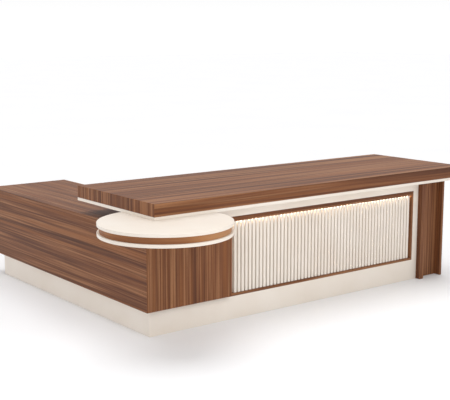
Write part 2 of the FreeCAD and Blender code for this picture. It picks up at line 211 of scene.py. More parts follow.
@dataclass(frozen=True)
class WalnutVeneer(Finish):
    """Quarter-cut walnut veneer under satin lacquer.

    Slicing leaves long, nearly straight stripes: broad bands of heartwood colour, streaks and
    threads in them, dark growth lines and short pores, drawn wider than real ones so that they
    show. The lacquer is rubbed down, so it only gives a soft sheen at a low angle. Each size is the
    length and the width of one mark, in metres. The shares weigh flitch, band, streak and thread,
    and each cover is the most that a mark hides of what is under it.
    """

    dark: str = "#5D3927"
    middle: str = "#7B4E33"
    light: str = "#9C6E4C"
    warm: str = "#8C5732"
    line: str = "#46291B"
    drift: float = 0.014
    drift_size: Pair = (1.6, 0.5)
    flitch_size: Pair = (4.0, 0.21)
    band_size: Pair = (3.0, 0.052)
    streak_size: Pair = (1.6, 0.016)
    thread_size: Pair = (0.6, 0.008)
    shares: tuple[float, float, float, float] = (0.14, 0.24, 0.30, 0.32)
    middle_ramp: Pair = (0.42, 0.50)
    light_ramp: Pair = (0.50, 0.58)
    tint_size: Pair = (2.8, 0.036)
    tint_ramp: Pair = (0.50, 0.68)
    tint_cover: float = 0.6
    line_size: Pair = (2.4, 0.024)
    line_ramp: Pair = (0.60, 0.70)
    line_cover: float = 0.6
    pore_size: Pair = (0.030, 0.0016)
    pore_ramp: Pair = (0.60, 0.72)
    pore_cover: float = 0.3
    pore_depth: float = 0.00012
    relief_ramp: Pair = (0.58, 0.72)
    relief_strength: float = 0.5
    roughness: float = 0.46
    pore_roughness: float = 0.10
    specular: float = 0.15

    def dress(self, tree: bpy.types.NodeTree) -> bpy.types.Node:
        """Adds the veneer's nodes.

        Args:
            tree: Tree of the material.

        Returns:
            The shader.
        """
        grain = add_node(tree, "ShaderNodeUVMap", uv_map=GRAIN_MAP)
        along, across, _ = add_node(tree, "ShaderNodeSeparateXYZ", {0: grain}).outputs
        sway = self.layer(tree, grain, self.drift_size)
        swayed_across = add_node(
            tree, "ShaderNodeMath", {0: sway, 1: self.drift, 2: across}, operation="MULTIPLY_ADD"
        )
        swayed = add_node(tree, "ShaderNodeCombineXYZ", {0: along, 1: swayed_across})

        tone = 0.0
        stripes = (self.flitch_size, self.band_size, self.streak_size, self.thread_size)
        for size, share in zip(stripes, self.shares):
            stripe = self.layer(tree, swayed, size)
            tone = add_node(
                tree, "ShaderNodeMath", {0: stripe, 1: share, 2: tone}, operation="MULTIPLY_ADD"
            )
        tint = self.layer(tree, swayed, self.tint_size)
        line = self.layer(tree, swayed, self.line_size)
        pore = self.layer(tree, swayed, self.pore_size)
        colour = linear(self.dark)
        for mark, ramp, shade, cover in (
            (tone, self.middle_ramp, self.middle, 1.0),
            (tone, self.light_ramp, self.light, 1.0),
            (tint, self.tint_ramp, self.warm, self.tint_cover),
            (line, self.line_ramp, self.line, self.line_cover),
            (pore, self.pore_ramp, self.line, self.pore_cover),
        ):
            colour = self.tinted(tree, colour, mark, ramp, shade, cover)

        start, full = self.relief_ramp
        open_pore = add_node(
            tree, "ShaderNodeMapRange", {"Value": pore, "From Min": start, "From Max": full}
        )
        rough = add_node(
            tree,
            "ShaderNodeMath",
            {0: open_pore, 1: self.pore_roughness, 2: self.roughness},
            operation="MULTIPLY_ADD",
        )
        relief = add_node(
            tree,
            "ShaderNodeBump",
            {"Strength": self.relief_strength, "Distance": self.pore_depth, "Height": open_pore},
            invert=True,
        )
        return add_node(
            tree,
            "ShaderNodeBsdfPrincipled",
            {
                "Base Color": colour,
                "Roughness": rough,
                "Normal": relief,
                "IOR": RESIN_IOR,
                "Specular IOR Level": self.specular,
            },
        )

    @staticmethod
    def layer(tree: bpy.types.NodeTree, place: bpy.types.Node, size: Pair) -> bpy.types.Node:
        """Adds one stripe pattern.

        Args:
            tree: Tree of the material.
            place: Node with the place on the veneer, along and across the grain.
            size: Length and width of one mark of the pattern.

        Returns:
            The node with the pattern's value.
        """
        length, width = size
        scaled = add_node(
            tree, "ShaderNodeMapping", {"Vector": place, "Scale": (1 / length, 1 / width, 1.0)}
        )
        return add_node(tree, "ShaderNodeTexNoise", {"Vector": scaled, "Scale": 1.0, "Detail": 1.0})


@dataclass(frozen=True)
class CreamLacquer(Finish):
    """Sprayed satin lacquer on fibre board.

    The spray leaves a fine orange peel, which breaks up the sheen, and the coat's tone wanders very
    little.
    """

    colour: str = "#F0E7DC"
    shade: str = "#EBE0D3"
    cloud_size: float = 0.35
    cloud_detail: float = 3.0
    cloud_ramp: Pair = (0.35, 0.65)
    peel_size: float = 0.003
    peel_detail: float = 1.0
    peel_depth: float = 0.00004
    relief_strength: float = 0.25
    roughness: float = 0.40
    roughness_spread: float = 0.08
    specular: float = 0.4

    def dress(self, tree: bpy.types.NodeTree) -> bpy.types.Node:
        """Adds the lacquer's nodes.

        Args:
            tree: Tree of the material.

        Returns:
            The shader.
        """
        place = add_node(tree, "ShaderNodeTexCoord").outputs["Object"]
        cloud, peel = [
            add_node(
                tree, "ShaderNodeTexNoise", {"Vector": place, "Scale": 1 / size, "Detail": detail}
            )
            for size, detail in (
                (self.cloud_size, self.cloud_detail),
                (self.peel_size, self.peel_detail),
            )
        ]
        colour = self.tinted(tree, linear(self.colour), cloud, self.cloud_ramp, self.shade)
        smoothest = self.roughness - self.roughness_spread / 2
        rough = add_node(
            tree,
            "ShaderNodeMath",
            {0: cloud, 1: self.roughness_spread, 2: smoothest},
            operation="MULTIPLY_ADD",
        )
        relief = add_node(
            tree,
            "ShaderNodeBump",
            {"Strength": self.relief_strength, "Distance": self.peel_depth, "Height": peel},
        )
        return add_node(
            tree,
            "ShaderNodeBsdfPrincipled",
            {
                "Base Color": colour,
                "Roughness": rough,
                "Normal": relief,
                "IOR": RESIN_IOR,
                "Specular IOR Level": self.specular,
            },
        )


@dataclass(frozen=True)
class Melamine(Finish):
    """Melamine-faced board of the drawer boxes: a printed linen weave, pressed matt.

    Real threads are under 1 mm wide, so they are drawn coarser to show. The stretch is a thread's
    width as a share of its length.
    """

    colour: str = "#CDC6BB"
    thread: str = "#BDB5A8"
    thread_size: float = 0.004
    thread_stretch: float = 0.12
    thread_detail: float = 1.0
    thread_ramp: Pair = (0.5, 0.75)
    thread_depth: float = 0.00003
    relief_strength: float = 0.3
    roughness: float = 0.55
    specular: float = 0.35

    def dress(self, tree: bpy.types.NodeTree) -> bpy.types.Node:
        """Adds the melamine's nodes, with threads along each axis.

        Args:
            tree: Tree of the material.

        Returns:
            The shader.
        """
        place = add_node(tree, "ShaderNodeTexCoord").outputs["Object"]
        weave = 0.0
        for axis in Axis:
            scale = [1.0, 1.0, 1.0]
            scale[axis.value] = self.thread_stretch
            stretched = add_node(tree, "ShaderNodeMapping", {"Vector": place, "Scale": scale})
            threads = add_node(
                tree,
                "ShaderNodeTexNoise",
                {"Vector": stretched, "Scale": 1 / self.thread_size, "Detail": self.thread_detail},
            )
            weave = add_node(tree, "ShaderNodeMath", {0: weave, 1: threads}, operation="MAXIMUM")
        colour = self.tinted(tree, linear(self.colour), weave, self.thread_ramp, self.thread)
        relief = add_node(
            tree,
            "ShaderNodeBump",
            {"Strength": self.relief_strength, "Distance": self.thread_depth, "Height": weave},
        )
        return add_node(
            tree,
            "ShaderNodeBsdfPrincipled",
            {
                "Base Color": colour,
                "Roughness": self.roughness,
                "Normal": relief,
                "IOR": RESIN_IOR,
                "Specular IOR Level": self.specular,
            },
        )


@dataclass(frozen=True)
class BrushedMetal(Finish):
    """Bare metal with the fine scratches of its last working.

    A brushed pull has long parallel scratches along its bar; drawn aluminium has the same, finer
    and duller. They are drawn wider than real ones so that they show.
    """

    colour: str = "#BDBBB7"
    scratch: str = "#8F8D89"
    scratch_size: Pair = (0.050, 0.0012)
    scratch_detail: float = 3.0
    scratch_ramp: Pair = (0.35, 0.70)
    scratch_depth: float = 0.00002
    relief_strength: float = 0.3
    roughness: float = 0.30
    roughness_spread: float = 0.14
    along: Axis = Axis.ALONG_TOP

    def dress(self, tree: bpy.types.NodeTree) -> bpy.types.Node:
        """Adds the metal's nodes.

        Args:
            tree: Tree of the material.

        Returns:
            The shader.
        """
        length, width = self.scratch_size
        scale = [1 / width] * 3
        scale[self.along.value] = 1 / length
        place = add_node(tree, "ShaderNodeTexCoord").outputs["Object"]
        scaled = add_node(tree, "ShaderNodeMapping", {"Vector": place, "Scale": scale})
        mark = add_node(
            tree,
            "ShaderNodeTexNoise",
            {"Vector": scaled, "Scale": 1.0, "Detail": self.scratch_detail},
        )
        colour = self.tinted(tree, linear(self.colour), mark, self.scratch_ramp, self.scratch)
        smoothest = self.roughness - self.roughness_spread / 2
        rough = add_node(
            tree,
            "ShaderNodeMath",
            {0: mark, 1: self.roughness_spread, 2: smoothest},
            operation="MULTIPLY_ADD",
        )
        relief = add_node(
            tree,
            "ShaderNodeBump",
            {"Strength": self.relief_strength, "Distance": self.scratch_depth, "Height": mark},
        )
        return add_node(
            tree,
            "ShaderNodeBsdfPrincipled",
            {"Base Color": colour, "Metallic": 1.0, "Roughness": rough, "Normal": relief},
        )


@dataclass(frozen=True)
class ZincPlate(Finish):
    """Bright zinc on stamped steel: cloudy blue-grey crystals, duller where they are coarse."""

    colour: str = "#C2C6CA"
    crystal: str = "#9EA4AA"
    crystal_size: float = 0.006
    cloud_size: float = 0.030
    cloud_detail: float = 2.0
    roughness: float = 0.32
    roughness_spread: float = 0.16

    def dress(self, tree: bpy.types.NodeTree) -> bpy.types.Node:
        """Adds the zinc's nodes.

        Args:
            tree: Tree of the material.

        Returns:
            The shader.
        """
        place = add_node(tree, "ShaderNodeTexCoord").outputs["Object"]
        cell = add_node(
            tree, "ShaderNodeTexVoronoi", {"Vector": place, "Scale": 1 / self.crystal_size}
        )
        cloud = add_node(
            tree,
            "ShaderNodeTexNoise",
            {"Vector": place, "Scale": 1 / self.cloud_size, "Detail": self.cloud_detail},
        )
        tone = add_node(
            tree, "ShaderNodeMath", {0: cell.outputs["Color"], 1: cloud}, operation="MULTIPLY"
        )
        colour = add_node(
            tree,
            "ShaderNodeMix",
            {"Factor": tone, MIX_FROM: linear(self.colour), MIX_TO: linear(self.crystal)},
            data_type="RGBA",
        )
        rough = add_node(
            tree,
            "ShaderNodeMath",
            {0: tone, 1: self.roughness_spread, 2: self.roughness},
            operation="MULTIPLY_ADD",
        )
        return add_node(
            tree,
            "ShaderNodeBsdfPrincipled",
            {"Base Color": colour, "Metallic": 1.0, "Roughness": rough},
        )


@dataclass(frozen=True)
class OpalCover(Finish):
    """Opal acrylic cover lit from behind: warm white, a little brighter under each light chip."""

    colour: str = "#FFF1DC"
    glow: str = "#FFF4DF"
    chip_spacing: float = 0.0167
    strength: float = 17.5
    spread: float = 2.6
    roughness: float = 0.5
    acrylic_ior: float = 1.49

    def dress(self, tree: bpy.types.NodeTree) -> bpy.types.Node:
        """Adds the cover's nodes.

        Args:
            tree: Tree of the material.

        Returns:
            The shader.
        """
        place = add_node(tree, "ShaderNodeTexCoord").outputs["Object"]
        along = add_node(tree, "ShaderNodeSeparateXYZ", {0: place})
        turns = math.tau / self.chip_spacing
        turn = add_node(tree, "ShaderNodeMath", {0: along, 1: turns}, operation="MULTIPLY")
        wave = add_node(tree, "ShaderNodeMath", {0: turn}, operation="COSINE")
        power = add_node(
            tree,
            "ShaderNodeMath",
            {0: wave, 1: self.spread, 2: self.strength},
            operation="MULTIPLY_ADD",
        )
        return add_node(
            tree,
            "ShaderNodeBsdfPrincipled",
            {
                "Base Color": linear(self.colour),
                "Roughness": self.roughness,
                "IOR": self.acrylic_ior,
                "Emission Color": linear(self.glow),
                "Emission Strength": power,
            },
        )


@dataclass(frozen=True)
class StripBoard(Finish):
    """Printed strip under the cover: white solder mask with bare copper pads between chips."""

    mask: str = "#E9E7E0"
    copper: str = "#B87A4B"
    pad_spacing: float = 0.050
    pad_start: float = 0.94
    roughness: float = 0.45

    def dress(self, tree: bpy.types.NodeTree) -> bpy.types.Node:
        """Adds the strip's nodes.

        Args:
            tree: Tree of the material.

        Returns:
            The shader.
        """
        place = add_node(tree, "ShaderNodeTexCoord").outputs["Object"]
        along = add_node(tree, "ShaderNodeSeparateXYZ", {0: place})
        turns = math.tau / self.pad_spacing
        turn = add_node(tree, "ShaderNodeMath", {0: along, 1: turns}, operation="MULTIPLY")
        wave = add_node(tree, "ShaderNodeMath", {0: turn}, operation="SINE")
        pad = add_node(
            tree, "ShaderNodeMath", {0: wave, 1: self.pad_start}, operation="GREATER_THAN"
        )
        colour = add_node(
            tree,
            "ShaderNodeMix",
            {"Factor": pad, MIX_FROM: linear(self.mask), MIX_TO: linear(self.copper)},
            data_type="RGBA",
        )
        return add_node(
            tree,
            "ShaderNodeBsdfPrincipled",
            {"Base Color": colour, "Roughness": self.roughness, "IOR": RESIN_IOR},
        )


@dataclass(frozen=True)
class StudioFloor(Finish):
    """Matt white studio floor with the faint unevenness of rolled paint."""

    colour: str = "#F8F8F9"
    shade: str = "#F4F4F6"
    cloud_size: float = 1.5
    cloud_detail: float = 3.0
    roughness: float = 0.9
    specular: float = 0.1

    def dress(self, tree: bpy.types.NodeTree) -> bpy.types.Node:
        """Adds the floor's nodes.

        Args:
            tree: Tree of the material.

        Returns:
            The shader.
        """
        place = add_node(tree, "ShaderNodeTexCoord").outputs["Object"]
        cloud = add_node(
            tree,
            "ShaderNodeTexNoise",
            {"Vector": place, "Scale": 1 / self.cloud_size, "Detail": self.cloud_detail},
        )
        colour = add_node(
            tree,
            "ShaderNodeMix",
            {"Factor": cloud, MIX_FROM: linear(self.colour), MIX_TO: linear(self.shade)},
            data_type="RGBA",
        )
        return add_node(
            tree,
            "ShaderNodeBsdfPrincipled",
            {
                "Base Color": colour,
                "Roughness": self.roughness,
                "Specular IOR Level": self.specular,
            },
        )


class Coat:
    """A finish together with its one material."""

    def __init__(self, finish: Finish) -> None:
        """Makes the material of a finish.

        Args:
            finish: Finish to make.
        """
        self.slot = finish.slot
        self.material = finish.material()

    def paint_node(self, node: str) -> None:
        """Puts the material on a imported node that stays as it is.

        Args:
            node: Name of the node.
        """
        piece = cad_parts[node]
        if not piece.material_slots:
            piece.data.materials.append(self.material)
        for slot in piece.material_slots:
            slot.material = self.material
        LOG.info("dressed %s with %s", node, self.material.name)


class Palette:
    """All finishes of the desk, each made into a material once."""

    def __init__(self) -> None:
        """Makes the materials."""
        self.walnut = Coat(WalnutVeneer("walnut_veneer_satin", Slot.WALNUT))
        self.walnut_plank = Coat(
            WalnutVeneer(
                "walnut_plank_satin",
                Slot.WALNUT,
                band_size=(3.4, 0.045),
                shares=(0.10, 0.46, 0.30, 0.14),
            )
        )
        self.walnut_edging = Coat(
            WalnutVeneer(
                "walnut_edging_bent",
                Slot.WALNUT,
                dark="#8C5B3B",
                middle="#AC774C",
                light="#B4855C",
                warm="#B07947",
                line="#744C2E",
                flitch_size=(0.45, 0.4),
                shares=(0.50, 0.10, 0.25, 0.15),
            )
        )
        self.cream = Coat(CreamLacquer("cream_lacquer_satin", Slot.CREAM))
        self.drawer_board = Coat(Melamine("linen_melamine_board", Slot.DRAWER_BOARD))
        self.pull_level = Coat(
            BrushedMetal("brushed_steel_level", Slot.PULL_STEEL, along=Axis.ALONG_RETURN)
        )
        self.pull_upright = Coat(
            BrushedMetal("brushed_steel_upright", Slot.PULL_STEEL, along=Axis.UPRIGHT)
        )
        self.zinc = Coat(ZincPlate("zinc_plated_steel", Slot.ZINC))
        self.channel = Coat(
            BrushedMetal(
                "anodised_aluminium_drawn",
                Slot.ALUMINIUM,
                colour="#D2D2D0",
                scratch="#BEBEBC",
                scratch_size=(0.2, 0.0008),
                roughness=0.42,
                roughness_spread=0.06,
            )
        )
        self.opal = Coat(OpalCover("opal_acrylic_lit", Slot.OPAL))
        self.strip = Coat(StripBoard("printed_light_strip", Slot.STRIP))


def add_piece(
    name: str, mesh: bpy.types.Mesh, coat: Coat, body: Body, replaced: Sequence[str] = ()
) -> None:
    """Links a finished mesh as a piece of the desk.

    Args:
        name: Name of the piece.
        mesh: Mesh with its place in its vertices.
        coat: Finish of the piece.
        body: Body that it rides on.
        replaced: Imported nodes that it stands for.
    """
    piece = bpy.data.objects.new(name, mesh)
    bpy.context.scene.collection.objects.link(piece)
    mesh.materials.clear()
    mesh.materials.append(coat.material)
    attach(piece, body.value)
    if replaced:
        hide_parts(*replaced)
    LOG.info("built %s, %d faces", name, len(mesh.polygons))


def mesh_from(name: str, shape: bmesh.types.BMesh) -> bpy.types.Mesh:
    """Turns a bmesh into a mesh and frees it.

    Args:
        name: Name of the mesh.
        shape: Finished shape.

    Returns:
        The mesh.
    """
    mesh = bpy.data.meshes.new(name)
    shape.to_mesh(mesh)
    shape.free()
    return mesh


def merged_copy(node: str) -> bmesh.types.BMesh:
    """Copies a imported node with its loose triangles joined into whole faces.

    Args:
        node: Name of the node.

    Returns:
        A closed shape with one face for each flat side.
    """
    shape = bmesh.new()
    shape.from_mesh(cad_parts[node].data)
    bmesh.ops.remove_doubles(shape, verts=shape.verts[:], dist=MERGE_DISTANCE)
    bmesh.ops.dissolve_limit(
        shape, angle_limit=FLAT_ANGLE, verts=shape.verts[:], edges=shape.edges[:]
    )
    return shape


def solids_of(node: str) -> list[list[Vector]]:
    """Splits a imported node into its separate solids.

    Args:
        node: Name of the node.

    Returns:
        The corner points of each solid, in the order of their first corners.
    """
    shape = merged_copy(node)
    left = set(shape.verts)
    solids = []
    for first in shape.verts:
        if first not in left:
            continue
        left.discard(first)
        solid, edge_of_search = [], [first]
        while edge_of_search:
            corner = edge_of_search.pop()
            solid.append(corner.co.copy())
            for edge in corner.link_edges:
                other = edge.other_vert(corner)
                if other in left:
                    left.discard(other)
                    edge_of_search.append(other)
        solids.append(solid)
    shape.free()
    return solids


def span_of(points: Iterable[Vector]) -> tuple[Vector, Vector]:
    """Gives the lowest and highest corner of some points."""
    columns = list(zip(*points))
    return Vector([min(c) for c in columns]), Vector([max(c) for c in columns])


@dataclass(frozen=True)
class Board:
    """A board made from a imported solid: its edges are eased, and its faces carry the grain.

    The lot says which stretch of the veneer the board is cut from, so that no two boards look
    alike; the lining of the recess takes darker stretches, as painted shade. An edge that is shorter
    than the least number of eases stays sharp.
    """

    node: str
    grain: Axis
    lot: int = 0
    ease: float = 0.0008
    ease_steps: int = 2
    least_eases: float = 6.0
    lot_length: float = 5.3
    lot_width: float = 1.7

    def build(self, coat: Coat, body: Body) -> None:
        """Makes the board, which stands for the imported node.

        Args:
            coat: Finish of the board.
            body: Body that it rides on.
        """
        shape = merged_copy(self.node)
        shortest = self.least_eases * self.ease
        edges = [
            edge
            for edge in shape.edges
            if edge.calc_face_angle(0.0) > EDGE_ANGLE and edge.calc_length() > shortest
        ]
        bmesh.ops.bevel(
            shape,
            geom=edges,
            offset=self.ease,
            offset_type="OFFSET",
            segments=self.ease_steps,
            profile=0.5,
            affect="EDGES",
            clamp_overlap=True,
        )
        self.map_grain(shape)
        name = f"{self.node}_finished"
        add_piece(name, mesh_from(name, shape), coat, body, [self.node])

    def map_grain(self, shape: bmesh.types.BMesh) -> None:
        """Writes each face's place along and across the grain, in metres.

        The stripes run on over an end of the board, as they do on a solid plank.

        Args:
            shape: Shape that gets the map.
        """
        layer = shape.loops.layers.uv.new(GRAIN_MAP)
        along = self.grain.value
        low, high = span_of(corner.co for corner in shape.verts)
        sides = sorted({0, 1, 2} - {along}, key=lambda axis: high[axis] - low[axis])
        shift = Vector((self.lot * self.lot_length, self.lot * self.lot_width))
        for face in shape.faces:
            facing = max(range(3), key=lambda axis: abs(face.normal[axis]))
            for loop in face.loops:
                place = loop.vert.co
                if facing == along:
                    past_edge = high[sides[0]] - place[sides[0]]
                    run = place[along] + math.copysign(past_edge, face.normal[along])
                    spot = Vector((run, place[sides[1]]))
                else:
                    # The axes are 0, 1 and 2, so the one across the grain is what is left of 3
                    spot = Vector((place[along], place[3 - along - facing]))
                loop[layer].uv = spot + shift


@dataclass(frozen=True)
class Turned:
    """A round piece turned about an axis from its outline, with smooth sides and flat ends.

    The start says where on the veneer the grain round its rim begins, in metres.
    """

    name: str
    centre: Vector
    outline: tuple[Pair, ...]
    axis: Axis = Axis.UPRIGHT
    segments: int = 192
    start: float = 0.0

    def shape(self) -> bmesh.types.BMesh:
        """Turns the outline.

        Returns:
            A closed shape, with the map of a grain that runs round it.
        """
        shape = bmesh.new()
        layer = shape.loops.layers.uv.new(GRAIN_MAP)
        turns = [math.tau * step / self.segments for step in range(self.segments)]
        rings = [
            [shape.verts.new(self.point(radius, height, turn)) for turn in turns]
            for radius, height in self.outline
        ]
        widest = max(radius for radius, _ in self.outline)
        bands = zip(rings, rings[1:], self.outline, self.outline[1:])
        for lower, upper, low, high in bands:
            for step in range(self.segments):
                following = (step + 1) % self.segments
                face = shape.faces.new(
                    (lower[step], lower[following], upper[following], upper[step])
                )
                face.smooth = abs(high[1] - low[1]) > LEVEL_DISTANCE
                corners = ((step, low), (step + 1, low), (step + 1, high), (step, high))
                for loop, (turn, (radius, height)) in zip(face.loops, corners):
                    run = self.start + math.tau * widest * turn / self.segments
                    loop[layer].uv = (run, height + widest - radius)
        for ring, order in ((rings[0], -1), (rings[-1], 1)):
            cap = shape.faces.new(ring[::order])
            for loop in cap.loops:
                loop[layer].uv = loop.vert.co.xy
        bmesh.ops.recalc_face_normals(shape, faces=shape.faces[:])
        return shape

    def point(self, radius: float, height: float, turn: float) -> Vector:
        """Gives a point of the outline after a turn.

        Args:
            radius: Distance from the axis.
            height: Distance along the axis from the centre.
            turn: Angle about the axis.

        Returns:
            The point in the desk's frame.
        """
        spot = [0.0, 0.0, 0.0]
        first, second = [(a + self.axis.value + 1) % 3 for a in range(2)]
        spot[first], spot[second] = radius * math.cos(turn), radius * math.sin(turn)
        spot[self.axis.value] = height
        return self.centre + Vector(spot)

    def build(self, coat: Coat, body: Body, replaced: Sequence[str]) -> None:
        """Makes the piece.

        Args:
            coat: Finish of the piece.
            body: Body that it rides on.
            replaced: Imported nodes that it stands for.
        """
        add_piece(self.name, mesh_from(self.name, self.shape()), coat, body, replaced)


def rounded_rim(
    radius: float, low: float, high: float, ease: float, steps: int = 4
) -> tuple[Pair, ...]:
    """Draws the outline of a plate with rounded rims.

    Args:
        radius: Radius of the plate.
        low: Level of its underside.
        high: Level of its upper side.
        ease: Radius of its rims.
        steps: Steps in each rounding.

    Returns:
        Radius and level of each point, from below to above.
    """
    turns = [math.pi / 2 * step / steps for step in range(steps + 1)]
    lower = [(radius - ease + ease * math.sin(t), low + ease - ease * math.cos(t)) for t in turns]
    upper = [(radius - ease + ease * math.cos(t), high - ease + ease * math.sin(t)) for t in turns]
    return tuple(lower + upper)


class NodeTool:
    """A Geometry Nodes tree with named inputs, whose result is kept as a plain mesh."""

    def __init__(self, name: str, inputs: dict[str, str]) -> None:
        """Starts a tree.

        Args:
            name: Name of the tree.
            inputs: Socket type of each input by its name.
        """
        self.tree = bpy.data.node_groups.new(name, "GeometryNodeTree")
        self.tree.is_modifier = True
        face = self.tree.interface
        face.new_socket("Geometry", in_out="OUTPUT", socket_type="NodeSocketGeometry")
        face.new_socket("Geometry", in_out="INPUT", socket_type="NodeSocketGeometry")
        self.sockets = {
            label: face.new_socket(label, in_out="INPUT", socket_type=kind).identifier
            for label, kind in inputs.items()
        }
        self.given = add_node(self.tree, "NodeGroupInput").outputs

    def end_with(self, instances: bpy.types.Node) -> None:
        """Ends the tree in real faces that carry the finish.

        Args:
            instances: Node with the placed copies.
        """
        real = add_node(self.tree, "GeometryNodeRealizeInstances", {0: instances})
        dressed = add_node(
            self.tree, "GeometryNodeSetMaterial", {0: real, "Material": self.given["Finish"]}
        )
        add_node(self.tree, "NodeGroupOutput", {0: dressed})

    def run(self, start: bpy.types.Mesh, values: dict[str, object]) -> bpy.types.Mesh:
        """Runs the tree on a mesh.

        Args:
            start: Mesh that the tree starts from.
            values: Value of each input by its name.

        Returns:
            The result as a plain mesh whose faces point outwards.
        """
        holder = bpy.data.objects.new(self.tree.name, start)
        bpy.context.scene.collection.objects.link(holder)
        modifier = holder.modifiers.new(self.tree.name, "NODES")
        modifier.node_group = self.tree
        for label, value in values.items():
            modifier[self.sockets[label]] = value
        graph = bpy.context.evaluated_depsgraph_get()
        result = bpy.data.meshes.new_from_object(holder.evaluated_get(graph))
        holder.modifiers.remove(modifier)
        bpy.data.objects.remove(holder)
        shape = bmesh.new()
        shape.from_mesh(result)
        if shape.calc_volume(signed=True) < 0:
            bmesh.ops.reverse_faces(shape, faces=shape.faces[:])
        shape.to_mesh(result)
        shape.free()
        return result


@dataclass
class Desktop:
    """The thick walnut top and the cream board under it."""

    slab_ease: float = 0.002
    slab_ease_steps: int = 4
    slab_lot: int = 147
    board_ease: float = 0.001
    riser_lot: int = 2

    def build(self, palette: Palette) -> None:
        """Builds the slab, its underlay and the riser over the return.

        Args:
            palette: Finishes of the desk.
        """
        slab = Board(
            "desktop_slab", Axis.ALONG_TOP, self.slab_lot, self.slab_ease, self.slab_ease_steps
        )
        slab.build(palette.walnut_plank, Body.DESK)
        underlay = Board("desktop_underlay", Axis.ALONG_TOP, ease=self.board_ease)
        underlay.build(palette.cream, Body.DESK)
        riser = Board("desktop_riser", Axis.ALONG_TOP, self.riser_lot, self.board_ease)
        riser.build(palette.walnut, Body.DESK)


@dataclass
class CornerDisc:
    """Cream, walnut and cream layers of the round piece under the corner of the top."""

    plate_ease: float = 0.002
    core_ease: float = 0.0006
    grain_start: float = 1.87

    def build(self, palette: Palette) -> None:
        """Turns the two plates and the core that is set in between them.

        Args:
            palette: Finishes of the desk.
        """
        layers = (
            ("disc_bottom_plate", palette.cream, self.plate_ease),
            ("disc_core", palette.walnut_edging, self.core_ease),
            ("disc_top_plate", palette.cream, self.plate_ease),
        )
        for node, coat, ease in layers:
            low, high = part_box(node)
            centre = Vector(((low.x + high.x) / 2, (low.y + high.y) / 2, 0.0))
            outline = rounded_rim((high.y - low.y) / 2, low.z, high.z, ease)
            layer = Turned(f"{node}_turned", centre, outline, start=self.grain_start)
            layer.build(coat, Body.DESK, [node])


@dataclass
class ReturnCabinet:
    """The low cabinet that stands beside the user, on its set-back plinth."""

    corner_ease: float = 0.0005
    board_ease: float = 0.0008
    shells: tuple[tuple[str, Axis, int], ...] = (
        ("return_top", Axis.ALONG_RETURN, 14),
        ("return_outer_side", Axis.ALONG_RETURN, 21),
        ("return_front_end", Axis.UPRIGHT, 167),
        ("return_rear_end", Axis.UPRIGHT, 13),
    )
    inner_boards: tuple[tuple[str, Axis], ...] = (
        ("return_bottom", Axis.ALONG_RETURN),
        ("return_divider_front", Axis.UPRIGHT),
        ("return_divider_rear", Axis.UPRIGHT),
        ("return_inner_stile", Axis.UPRIGHT),
        ("cupboard_shelf", Axis.ALONG_RETURN),
        ("shelf_cleats", Axis.ALONG_TOP),
    )
    first_inner_lot: int = 90
    plinth_boards: tuple[str, ...] = (
        "plinth_front",
        "plinth_left",
        "plinth_rear",
        "plinth_inner",
        "plinth_braces",
    )

    def build(self, palette: Palette) -> None:
        """Builds the walnut shell, the boards inside it and the cream plinth.

        Args:
            palette: Finishes of the desk.
        """
        for node, grain, lot in self.shells:
            Board(node, grain, lot, self.corner_ease).build(palette.walnut, Body.DESK)
        for lot, (node, grain) in enumerate(self.inner_boards, self.first_inner_lot):
            Board(node, grain, lot, self.board_ease).build(palette.walnut, Body.DESK)
        for node in self.plinth_boards:
            Board(node, Axis.ALONG_TOP, ease=self.corner_ease).build(palette.cream, Body.DESK)


